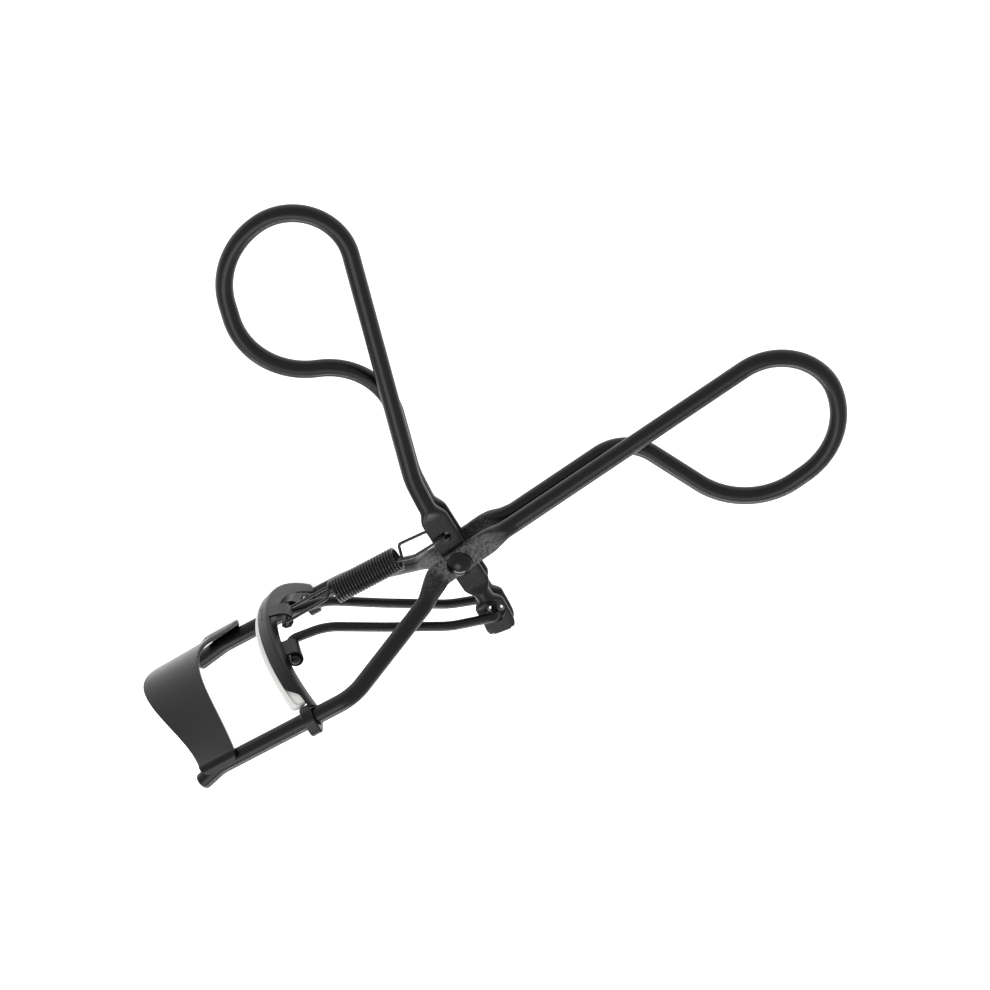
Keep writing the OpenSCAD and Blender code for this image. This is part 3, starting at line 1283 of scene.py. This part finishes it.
@dataclass
class Spring:
    """The extension spring: front hook, close coil and rear hook in one wire."""

    wire: bpy.types.Material
    wire_r: float = 0.225
    coil_r: float = 1.625
    turns: int = 23
    pitch: float = 0.45
    rear_x: float = -7.7
    y: float = 3.8
    steps: int = 28
    hook_spacing: float = 0.2
    facets: int = 10
    end_round: float = 0.1

    def build(self) -> bpy.types.Object:
        """Builds the spring.

        Returns:
            The spring.
        """
        front_x = self.rear_x - self.turns * self.pitch
        top = self.y + self.coil_r
        front_hook = [
            (front_x - 1.2, self.y + 0.3, -1.8, 0),
            (-25.9, 3.95, -1.85, 0.4),
            (-25.9, 3.95, 1.85, 0.4),
            (front_x - 1.0, self.y + 0.4, 1.75, 0.8),
            (front_x - 0.1, top, 0.9, 0.4),
            (front_x, top, 0, 0),
        ]
        rear_hook = [
            (self.rear_x, self.y, self.coil_r, 0),
            (self.rear_x + 0.05, self.y + 0.5, self.coil_r, 0.25),
            (-5.3, 3.95, 2.25, 1.0),
            (-1.4, 4.35, 2.5, 2.0),
            (0.0, 4.5, 2.4, 0.4),
            (0.0, 4.5, 0.1, 0.4),
            (-2.4, 5.5, 0.1, 1.0),
            (-6.5, 5.75, 0.1, 0.5),
            (-7.2, 3.5, 0.1, 0),
        ]
        # The last turn stops a quarter short, where the near strand leaves it
        count = self.turns * self.steps - self.steps // 4
        coil = []
        for i in range(count + 1):
            turn = 2 * math.pi * i / self.steps
            x = front_x + (self.rear_x - front_x) * i / count
            across = self.coil_r * math.cos(turn)
            coil.append(Vector((x, self.y + across, -self.coil_r * math.sin(turn))))
        front = bent(front_hook, self.hook_spacing)[:-1]
        line = [*front, *coil, *bent(rear_hook, self.hook_spacing)[1:]]
        wire = Section(self.wire_r, self.wire_r)
        rings, press = swept(line, lambda at: wire, self.facets, None, self.end_round)
        piece = lofted("return_spring", rings, press)
        shaded(piece)
        dressed(piece, self.wire, ["spring_coil", "spring_rear_hook"])
        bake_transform(piece)
        return piece


# ---- floor, light and camera -----------------------------------------------


@dataclass
class Studio:
    """A pale floor, a white room and soft lamps, with the camera above."""

    room_light: float = 0.5
    floor_light: float = 0.8
    floor_size: float = 3.0

    def seen(self, tree: bpy.types.NodeTree) -> bpy.types.NodeSocket:
        """Whether a ray shows the room rather than lights the piece.

        Args:
            tree: the tree that gets the nodes.

        Returns:
            A socket with 1 for camera, glossy and transmission rays, else 0.
        """
        path = add_node(tree, "ShaderNodeLightPath").outputs
        either = add_node(
            tree, "ShaderNodeMath",
            {0: path["Is Camera Ray"], 1: path["Is Glossy Ray"]}, operation="MAXIMUM",
        ).outputs[0]
        return add_node(
            tree, "ShaderNodeMath",
            {0: either, 1: path["Is Transmission Ray"]}, operation="MAXIMUM",
        ).outputs[0]

    def build_world(self) -> None:
        """A room that is white to the eye and dimmer as a light."""
        world = bpy.data.worlds.new("white_room")
        bpy.context.scene.world = world
        world.use_nodes = True
        tree = world.node_tree
        tree.nodes.clear()
        strength = add_node(
            tree, "ShaderNodeMapRange",
            {"Value": self.seen(tree), "To Min": self.room_light, "To Max": 1.0},
        ).outputs["Result"]
        back = add_node(
            tree, "ShaderNodeBackground",
            {"Color": linear("#ffffff"), "Strength": strength},
        )
        output = add_node(tree, "ShaderNodeOutputWorld")
        tree.links.new(back.outputs[0], output.inputs["Surface"])

    def build_floor(self) -> None:
        """A white paper floor that keeps the curler's soft shadow."""
        bpy.ops.mesh.primitive_plane_add(size=self.floor_size, location=(0, 0, 0))
        floor = bpy.context.object
        floor.name = "studio_floor"
        made = new_material("floor_paper")
        tree = made.node_tree
        paper = add_node(
            tree, "ShaderNodeBsdfDiffuse", {"Color": linear("#f4f4f4")}
        ).outputs[0]
        strength = add_node(
            tree, "ShaderNodeMapRange",
            {"Value": self.seen(tree), "To Min": 0.0, "To Max": self.floor_light},
        ).outputs["Result"]
        glow = add_node(
            tree, "ShaderNodeEmission",
            {"Color": linear("#ffffff"), "Strength": strength},
        ).outputs[0]
        surface(made, add_node(tree, "ShaderNodeAddShader", {0: paper, 1: glow}))
        floor.data.materials.append(made)

    def lamp(
        self, name: str, place: Sequence[float], size: Sequence[float], watts: float
    ) -> None:
        """Adds a soft lamp that faces the rivet.

        Args:
            name: the lamp's name.
            place: its place in metres from the rivet.
            size: its width and height in metres.
            watts: its power.
        """
        data = bpy.data.lights.new(name, "AREA")
        data.shape, data.size, data.size_y, data.energy = "RECTANGLE", *size, watts
        lamp = bpy.data.objects.new(name, data)
        lamp.location = RIVET * MM + Vector(place)
        lamp.rotation_euler = (-Vector(place)).to_track_quat("-Z", "Y").to_euler()
        bpy.context.scene.collection.objects.link(lamp)

    def build_lamps(self) -> None:
        """Adds the lamps."""
        self.lamp("key_softbox", (-0.35, -0.2, 0.9), (0.6, 0.6), 4.5)
        self.lamp("edge_strip", (-0.45, -0.8, 0.28), (0.9, 0.1), 8.0)

    def build_camera(self) -> None:
        """Sets the camera above the lying curler."""
        data = bpy.data.cameras.new("camera")
        data.sensor_width, data.lens = 36.0, 154.9
        data.clip_start, data.clip_end = 0.01, 10.0
        camera = bpy.data.objects.new("camera", data)
        right = Vector((0.8686, -0.4938, 0.0416)).normalized()
        back = Vector((0.1893, 0.4082, 0.8930)).normalized()
        up = back.cross(right).normalized()
        turn = Matrix((right, up, back)).transposed().to_4x4()
        place = RIVET * MM + Vector((0.1218, 0.2488, 0.5323))
        camera.matrix_world = Matrix.Translation(place) @ turn
        bpy.context.scene.collection.objects.link(camera)
        bpy.context.scene.camera = camera

    def build(self) -> None:
        """Builds the whole studio."""
        self.build_world()
        self.build_floor()
        self.build_lamps()
        self.build_camera()
        bpy.context.scene.view_settings.view_transform = "Standard"


def main() -> None:
    """Builds every sub-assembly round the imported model."""
    logging.basicConfig(level=logging.INFO, format="%(name)s: %(message)s")
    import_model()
    lacquer = BlackLacquer("black_lacquer_on_wire").material()
    # The frame's flat gets a light grey speckle: painted sheen, as if the flat caught the
    # lamps, over the die's real speckle
    frame_lacquer_with_painted_sheen = BlackLacquer(
        "black_lacquer_on_frame_wire_painted_sheen", pressed_speckle_and_sheen_colour="#636364", speckle_depth=0.8
    ).material()
    plate_lacquer = BlackLacquer(
        "black_lacquer_on_sheet", roughness=0.3, peel_depth=0.03
    ).material()
    gloss = BlackLacquer(
        "black_lacquer_on_rivet", roughness=0.2, peel_depth=0.02
    ).material()
    FixedHandle(frame_lacquer_with_painted_sheen).build()
    MovingHandle(lacquer).build()
    Rivet(gloss).build()
    TopPlate(plate_lacquer).build()
    Clamp(lacquer, SoftSilicone().material()).build()
    Link(lacquer).build()
    Spring(SpringWire().material()).build()
    Studio().build()


if __name__ == "__main__":
    main()
